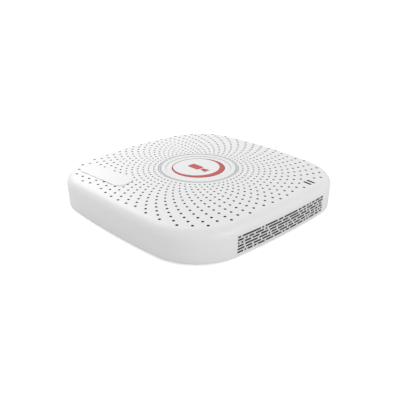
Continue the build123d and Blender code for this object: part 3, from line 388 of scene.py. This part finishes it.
grille = {"out": 110 * mm, "reach": 67.3 * mm, "low": 6.4 * mm, "high": 25.2 * mm, "share": 0.84}
padSideShade = {"steep": 0.6, "share": 0.16}


def grilleWebShade(finish):
    x, y, z = finish.axes()
    wall = (x.size() > grille["out"]) * (y.size() < grille["reach"])
    return wall * (z > grille["low"]) * (z < grille["high"])


# faces steeper than this get the painted shadow line along the pad's sides
def steepSideShade(finish):
    lean = finish.node("ShaderNodeNewGeometry", {}, {}, "Normal")
    return finish.node("ShaderNodeSeparateXYZ", {}, {0: lean}, "Z") < padSideShade["steep"]


shell = plastics["shellWhite"]
finishes["boardGreen"] = boardGreen()
# the cover's white with painted shade on the grille webs, and the pad's white with painted shade on its steep
# sides
finishes["coverWhiteWebShade"] = moulded("coverWhiteWebShade", shell, grilleWebShade, grille["share"])
finishes["padWhiteSideShade"] = moulded("padWhiteSideShade", shell, steepSideShade, padSideShade["share"])
for shellName, shellLook in shells.items():
    finishes[shellName] = socketShell(shellName, shellLook)
finishes["vgaFinish"] = vgaFinish()
print("made", len(finishes), "finishes")

finishNodes = {
    "coverWhiteWebShade": ["top_cover"], "padWhiteSideShade": ["name_pad"], "baseWhite": ["base_plate"],
    "haloGreyAndShade": ["halo_ring"], "discWhite": ["centre_disc"], "smokedLens": ["status_lenses"],
    "inlayRed": ["crescent_inlay", "camera_mark"], "lightClear": ["indicator_lights"],
    "panelBlack": ["rear_panel"], "footRubber": ["rubber_feet", "drive_grommets"],
    "boardGreen": ["main_board", "indicator_board", "drive_board"],
    "vgaFinish": ["vga_socket"], "hdmiShell": ["hdmi_socket"], "usbShell": ["usb_socket"],
    "socketBlack": ["ribbon_header", "dc_jack", "rocker_housing", "power_rocker", "cell_holder", "buzzer",
                    "data_socket", "power_socket", "data_plugs", "power_plugs", "drive_connector"],
    "chipBlack": ["processor", "memory_chips", "flash_chip", "network_transformer", "power_coils"],
    "blackFins": ["heat_sink"], "plainBrass": ["board_standoffs"], "coilCopper": ["voice_coil"],
    "cableRed": ["data_cable"], "cableBlack": ["power_cable", "indicator_ribbon"],
    "zincSteel": ["case_screws", "board_screws", "drive_screws", "drive_lid_screws", "lan_jack", "dc_pin",
                  "clock_crystal", "coin_cell", "drive_lid", "spindle_motor", "platter_clamp",
                  "pivot_post", "magnet_plates"],
    "castAluminium": ["capacitors", "drive_case", "spindle_hub", "platter_spacer", "head_arm"],
    "mirrorDisc": ["platters"], "rampNatural": ["parking_ramp"],
}


def paint(thing, finishName):
    thing.data.materials.clear()
    thing.data.materials.append(finishes[finishName])


for finishName, nodeNames in finishNodes.items():
    for nodeName in nodeNames:
        paint(nodes[nodeName], finishName)


# Cover with its field of dots, cut into a copy of the CAD cover

coverShape = {
    "halfWidth": 125.4 * mm, "halfDepth": 124.9 * mm, "sideBow": 900 * mm, "endBow": 900 * mm,
    "cornerRadius": 60.5 * mm, "crownRadius": 1950 * mm, "top": 41.2 * mm, "draft": 1.6,
    "weld": 0.001 * mm, "crease": 25,
}
ventPlace = {"top": 25.6 * mm, "floor": 6 * mm, "reach": 70 * mm, "skin": 0.12 * mm, "turned": 0.5}
dotField = {
    "rings": 15, "perRing": 60, "firstRadius": 50.05 * mm, "ringStep": 5.827 * mm,
    "ringGrowth": 0.057 * mm, "turnPerRing": 2.0, "dotRadius": 0.99 * mm, "dotGrowth": 0.043 * mm,
    "depth": 1.2 * mm, "foot": 0.8, "rim": 1.25, "sides": 14, "edgeClear": 10.6 * mm,
    "padClear": 1 * mm, "slotClear": 4.6 * mm,
}
padPlace = {"left": -96.7 * mm, "right": -19.8 * mm, "front": -96.5 * mm, "rear": -73 * mm, "round": 9 * mm}
slotPlace = {"left": 102.6 * mm, "right": 112.8 * mm, "half": 1.52 * mm, "floor": 36 * mm,
             "rows": (57.5 * mm, 63.8 * mm), "slack": 0.01 * mm}
crownFace = {"up": 0.9, "slack": 0.06 * mm}

sideBow, endBow = coverShape["sideBow"], coverShape["endBow"]
sideX = coverShape["halfWidth"] - sideBow     # the bowed walls are arcs about these two points
endY = coverShape["halfDepth"] - endBow
crownCentre = Vector((0, 0, coverShape["top"] - coverShape["crownRadius"]))


def crownAt(x, y):
    return crownCentre.z + math.sqrt(coverShape["crownRadius"] ** 2 - x * x - y * y)


def cornerCentre():
    sideReach = sideBow - coverShape["cornerRadius"]
    endReach = endBow - coverShape["cornerRadius"]
    span = math.hypot(sideX, endY)
    along = (sideReach ** 2 - endReach ** 2 + span ** 2) / (2 * span)
    across = math.sqrt(sideReach ** 2 - along ** 2)
    unitX, unitY = -sideX / span, endY / span
    return sideX + unitX * along - unitY * across, unitY * along + unitX * across


cornerX, cornerY = cornerCentre()


def edgeDistance(x, y):
    x, y = abs(x), abs(y)
    pastSide = y * (cornerX - sideX) > (x - sideX) * cornerY
    pastEnd = x * (cornerY - endY) > (y - endY) * cornerX
    if pastSide and pastEnd:
        return coverShape["cornerRadius"] - math.hypot(x - cornerX, y - cornerY)
    return min(sideBow - math.hypot(x - sideX, y), endBow - math.hypot(x, y - endY))


def onPad(x, y):
    middleX = (padPlace["left"] + padPlace["right"]) / 2
    middleY = (padPlace["front"] + padPlace["rear"]) / 2
    outX = max(abs(x - middleX) - (padPlace["right"] - padPlace["left"]) / 2 + padPlace["round"], 0)
    outY = max(abs(y - middleY) - (padPlace["rear"] - padPlace["front"]) / 2 + padPlace["round"], 0)
    return math.hypot(outX, outY) < padPlace["round"] + dotField["padClear"]


def onSlot(x, y):
    nearRow = any(abs(y - row) < dotField["slotClear"] for row in slotPlace["rows"])
    return x > slotPlace["left"] - dotField["slotClear"] and nearRow


def dotPlaces():
    places = []
    for ring in range(dotField["rings"]):
        reach = dotField["firstRadius"] + dotField["ringStep"] * ring + dotField["ringGrowth"] * ring ** 2
        radius = dotField["dotRadius"] + dotField["dotGrowth"] * ring
        for step in range(dotField["perRing"]):
            turn = math.radians(dotField["turnPerRing"] * ring + 360 / dotField["perRing"] * step)
            x, y = reach * math.cos(turn), reach * math.sin(turn)
            if edgeDistance(x, y) > dotField["edgeClear"] and not onPad(x, y) and not onSlot(x, y):
                places.append((x, y, radius))
    return places


def dotCutter():     # one peg from -1 to 1, copied to each dot at the size of that dot
    bpy.ops.mesh.primitive_cone_add(vertices=dotField["sides"], radius1=dotField["foot"],
                                    radius2=dotField["rim"], depth=2)
    peg = bpy.context.object
    peg.data.materials.append(finishes["deepShade"])
    pegs = []
    for x, y, radius in dotPlaces():
        spot = Vector((x, y, crownAt(x, y)))
        lean = (spot - crownCentre).to_track_quat("Z", "Y").to_matrix().to_4x4()
        size = Matrix.Diagonal((radius, radius, dotField["depth"], 1.0))
        pegs.append(cloneAt(peg, Matrix.Translation(spot) @ lean @ size))
    bpy.data.objects.remove(peg)
    print("cutting", len(pegs), "dots")
    return joinAll(pegs, "dotCutter")


def inVent(face):
    spot, out = face.center, face.normal
    if not ventPlace["floor"] < spot.z < ventPlace["top"] or abs(spot.y) > ventPlace["reach"]:
        return False
    wallFace = sideX + math.sqrt(sideBow ** 2 - spot.y ** 2)
    wallFace -= (coverShape["top"] - spot.z) * math.tan(math.radians(coverShape["draft"]))
    return abs(spot.x) < wallFace - ventPlace["skin"] and abs(out.x) < ventPlace["turned"]


def inSlot(face):
    spot, slack = face.center, slotPlace["slack"]
    inRow = any(abs(spot.y - row) < slotPlace["half"] for row in slotPlace["rows"])
    between = slotPlace["left"] - slack < spot.x < slotPlace["right"] + slack
    return inRow and between and spot.z > slotPlace["floor"]


def roundNormals(mesh):     # the crown shades as a true ball, however its faces are cut
    radius = coverShape["crownRadius"]
    normals = [corner.vector.copy() for corner in mesh.corner_normals]
    for face in mesh.polygons:
        reach = [(mesh.vertices[spot].co - crownCentre).length for spot in face.vertices]
        if face.normal.z > crownFace["up"] and max(abs(part - radius) for part in reach) < crownFace["slack"]:
            for corner, spot in zip(face.loop_indices, face.vertices):
                normals[corner] = (mesh.vertices[spot].co - crownCentre).normalized()
    mesh.normals_split_custom_set(normals)


def makeCover():
    cover = cloneAt(nodes["top_cover"], Matrix.Identity(4))
    cover.parent = None
    for key in list(cover.keys()):     # what marks the CAD node isn't kept on its copy
        del cover[key]
    pick(cover)
    bpy.ops.object.mode_set(mode="EDIT")
    bpy.ops.mesh.select_all(action="SELECT")
    bpy.ops.mesh.remove_doubles(threshold=coverShape["weld"])
    bpy.ops.object.mode_set(mode="OBJECT")
    for finishName in ("ventShade", "slotWallShade", "deepShade"):
        cover.data.materials.append(finishes[finishName])
    # vent walls and status-slot walls get dark colours: painted shade
    for face in cover.data.polygons:
        if inVent(face):
            face.material_index = 1
        elif inSlot(face):
            face.material_index = 2
    cutAway(cover, dotCutter())
    smooth(cover, coverShape["crease"])
    roundNormals(cover.data)
    return settle(cover, "dottedCover")


cover = makeCover()
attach(cover, "case")
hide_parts("top_cover")
print("cover has", len(cover.data.polygons), "faces", [m.name for m in cover.data.materials])


# Shared by the small pieces

def finishPiece(piece, name, finishName, body):
    settle(piece, name)
    paint(piece, finishName)
    smooth(piece)
    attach(piece, body)


def blockAt(place, size, turn=0.0):
    bpy.ops.mesh.primitive_cube_add(size=1, location=place, rotation=(math.radians(turn), 0, 0))
    block = bpy.context.object
    block.scale = size
    return settle(block, "block")


def facing(face, *toward):     # true for normals within 60 degrees of that direction
    return face.normal.dot(Vector(toward)) > 0.5


def editFaces(thing, wanted):     # leaves edit mode on, with the wanted faces selected
    pick(thing)
    bpy.ops.object.mode_set(mode="EDIT")
    bpy.ops.mesh.select_mode(type="FACE")
    bpy.ops.mesh.select_all(action="DESELECT")
    bpy.ops.object.mode_set(mode="OBJECT")
    for face in thing.data.polygons:
        face.select = wanted(face)
    bpy.ops.object.mode_set(mode="EDIT")


def makeRing(sides, radius, line, thick, place, turn=0.0):
    bpy.ops.mesh.primitive_cylinder_add(vertices=sides, radius=radius, depth=thick, location=place,
                                        rotation=(math.radians(turn), 0, 0))
    ring = bpy.context.object
    editFaces(ring, lambda face: facing(face, 0, 0, 1) or facing(face, 0, 0, -1))
    bpy.ops.mesh.inset(thickness=line)
    bpy.ops.mesh.bridge_edge_loops()
    bpy.ops.object.mode_set(mode="OBJECT")
    return ring


# Thin ring lines on the emblem disc; the grey one in the corner of the dish's step is a painted shadow line

ringLines = {
    "crescentLine": {"outer": 29.9 * mm, "inner": 28.95 * mm, "finish": "lineRed", "slot": "signal_red"},
    "dishShadowLine": {"outer": 36.88 * mm, "inner": 36.45 * mm, "finish": "dishStepShade", "slot": "halo_grey"},
}
dishFloor = {"level": 40.351 * mm, "stand": 0.03 * mm, "thick": 0.12 * mm, "sides": 180}

for lineName, lineLook in ringLines.items():
    lineMiddle = dishFloor["level"] + dishFloor["stand"] - dishFloor["thick"] / 2
    ringLine = makeRing(dishFloor["sides"], lineLook["outer"], lineLook["outer"] - lineLook["inner"],
                        dishFloor["thick"], (0, 0, lineMiddle))
    finishPiece(ringLine, lineName, lineLook["finish"], "case")
print("ring lines laid")


# Small parts in the sockets at the rear

vgaInsert = {
    "x": -46 * mm, "level": 17.55 * mm, "back": 115.9 * mm, "reach": 4.9 * mm, "width": 15.5 * mm,
    "height": 6.9 * mm, "foot": 0.858, "round": 0.2 * mm, "rows": 3, "columns": 5, "pitch": 2.29 * mm,
    "rowPitch": 1.98 * mm, "rowShift": 0.6 * mm, "hole": 0.45 * mm, "holeDepth": 3 * mm, "holeSides": 16,
}


def makeVgaInsert():
    look = vgaInsert
    middle = (look["x"], look["back"] + look["reach"] / 2, look["level"])
    insert = blockAt(middle, (look["width"], look["reach"], look["height"]))
    editFaces(insert, lambda face: facing(face, 0, 0, -1))
    bpy.ops.transform.resize(value=(look["foot"], 1, 1), center_override=middle)
    bpy.ops.object.mode_set(mode="OBJECT")
    applyModifier(insert, "BEVEL", width=look["round"], segments=2)
    pegs = []
    for row in range(look["rows"]):
        for column in range(look["columns"]):
            across = (column - (look["columns"] - 1) / 2) * look["pitch"] + row % 2 * look["rowShift"]
            up = (row - (look["rows"] - 1) / 2) * look["rowPitch"]
            place = (look["x"] + across, look["back"] + look["reach"], look["level"] + up)
            bpy.ops.mesh.primitive_cylinder_add(vertices=look["holeSides"], radius=look["hole"],
                                                depth=2 * look["holeDepth"], location=place,
                                                rotation=(math.radians(90), 0, 0))
            pegs.append(bpy.context.object)
    cutAway(insert, joinAll(pegs, "pinHoles"))
    finishPiece(insert, "vgaInsert", "insertBlue", "case")


lanContacts = {
    "x": 23 * mm, "front": 116.6 * mm, "flat": 1.6 * mm, "floor": 13.72 * mm, "run": 6.2 * mm,
    "rise": 2.7 * mm, "count": 8, "pitch": 1.02 * mm, "width": 0.42 * mm, "thick": 0.24 * mm,
    "round": 0.06 * mm,
}


def makeLanContacts():
    look = lanContacts
    place = (0, look["front"] - look["flat"] / 2, look["floor"] + look["thick"] / 2)
    strip = blockAt(place, (look["width"], look["flat"], look["thick"]))
    editFaces(strip, lambda face: facing(face, 0, -1, 0))
    bpy.ops.mesh.extrude_region_move(TRANSFORM_OT_translate={"value": (0, -look["run"], look["rise"])})
    bpy.ops.object.mode_set(mode="OBJECT")
    applyModifier(strip, "BEVEL", width=look["round"], segments=2)
    strips = []
    for step in range(look["count"]):
        across = look["x"] + (step - (look["count"] - 1) / 2) * look["pitch"]
        strips.append(cloneAt(strip, Matrix.Translation((across, 0, 0))))
    bpy.data.objects.remove(strip)
    finishPiece(joinAll(strips, "strips"), "lanContacts", "contactGold", "case")


lanLamps = {
    "places": {"lanLampLeft": (17.6 * mm, "lightClear"), "lanLampRight": (28.4 * mm, "lampAmber")},
    "rear": 117.75 * mm, "level": 22.4 * mm, "size": (2.9 * mm, 0.8 * mm, 1.7 * mm), "round": 0.25 * mm,
}


def makeLanLamps():
    for name, (x, finishName) in lanLamps["places"].items():
        lamp = blockAt((x, lanLamps["rear"], lanLamps["level"]), lanLamps["size"])
        applyModifier(lamp, "BEVEL", width=lanLamps["round"], segments=3)
        finishPiece(lamp, name, finishName, "case")


rockerMarks = {
    "x": 57.5 * mm, "ring": (118.79 * mm, 18.85 * mm), "ringRadius": 0.95 * mm, "ringSides": 40,
    "bar": (119.18 * mm, 15.88 * mm), "barLength": 1.9 * mm, "barTurn": 14, "line": 0.25 * mm,
    "thick": 0.16 * mm, "round": 0.03 * mm,
}


def makeRockerMarks():
    look = rockerMarks
    barSize = (look["line"], look["thick"], look["barLength"])
    bar = blockAt((look["x"], *look["bar"]), barSize, look["barTurn"])
    ring = makeRing(look["ringSides"], look["ringRadius"], look["line"], look["thick"],
                    (look["x"], *look["ring"]), 90)
    for name, mark in (("rockerBar", bar), ("rockerRing", ring)):
        applyModifier(mark, "BEVEL", width=look["round"], segments=2, limit_method="ANGLE")
        finishPiece(mark, name, "markWhite", "rocker")


makeVgaInsert()
makeLanContacts()
makeLanLamps()
makeRockerMarks()
print("rear sockets dressed")


# Floor, world, lights and camera

floorLook = {"size": 30, "colour": (0.8, 0.8, 0.8), "rough": 0.8, "gloss": 0.2, "glow": 0.66}


def makeFloor():     # its glow is seen by the camera alone and lights nothing
    bpy.ops.mesh.primitive_plane_add(size=floorLook["size"], location=(0, 0, 0))
    floor = settle(bpy.context.object, "floor")
    finish = Finish("floorWhite")
    finish.set(Base_Color=floorLook["colour"], Roughness=floorLook["rough"],
               Specular_IOR_Level=floorLook["gloss"])
    seen = finish.node("ShaderNodeLightPath", {}, {}, "Is Camera Ray")
    glow = finish.node("ShaderNodeEmission", {}, {"Color": (1, 1, 1), "Strength": seen * floorLook["glow"]})
    paint = Amount(finish, finish.shader.outputs[0])
    finish.feed(finish.surface, finish.node("ShaderNodeAddShader", {}, {0: paint, 1: glow}))
    floor.data.materials.append(finish.material)


worldLevel = 0.72


def makeWorld():     # full white to the camera and in reflections, dimmer as light
    world = bpy.data.worlds.new("studio")
    bpy.context.scene.world = world
    world.use_nodes = True
    sky = Graph(world.node_tree)
    seen = sky.node("ShaderNodeLightPath", {}, {}, "Is Camera Ray")
    mirrored = sky.node("ShaderNodeLightPath", {}, {}, "Is Glossy Ray")
    back = world.node_tree.nodes["Background"]
    sky.feed(back.inputs["Color"], (1, 1, 1))
    sky.feed(back.inputs["Strength"], seen.larger(mirrored) * (1 - worldLevel) + worldLevel)


lamps = {
    "keyLeft": {"place": (-0.5, 0, 0.45), "size": 0.5, "watts": 1.65},
    "rightFill": {"place": (1.6, 0.3, 0.5), "size": 0.9, "watts": 5.4},
    "frontFill": {"place": (0.1, -1.6, 0.5), "size": 0.9, "watts": 0.7},
}
lampAim = Vector((0, 0, 0.02))


def makeLamp(name, look):
    data = bpy.data.lights.new(name, "AREA")
    data.size = look["size"]
    data.energy = look["watts"]
    lamp = bpy.data.objects.new(name, data)
    lamp.location = look["place"]
    lamp.rotation_euler = (lampAim - Vector(look["place"])).to_track_quat("-Z", "Y").to_euler()
    bpy.context.scene.collection.objects.link(lamp)


cameraSet = {
    "eye": (0.41617, -0.39808, 0.2626), "azimuth": 46.09, "elevation": 24.482, "lens": 49.32,
    "sensor": 36, "near": 0.01,
}


def makeCamera():
    data = bpy.data.cameras.new("camera")
    data.lens = cameraSet["lens"]
    data.sensor_width = cameraSet["sensor"]
    data.clip_start = cameraSet["near"]
    camera = bpy.data.objects.new("camera", data)
    camera.location = cameraSet["eye"]
    camera.rotation_euler = (math.radians(90 - cameraSet["elevation"]), 0, math.radians(cameraSet["azimuth"]))
    bpy.context.scene.collection.objects.link(camera)
    bpy.context.scene.camera = camera


makeFloor()
makeWorld()
for lampName, lampLook in lamps.items():
    makeLamp(lampName, lampLook)
makeCamera()
bpy.context.scene.view_settings.view_transform = "Standard"
print("studio set")
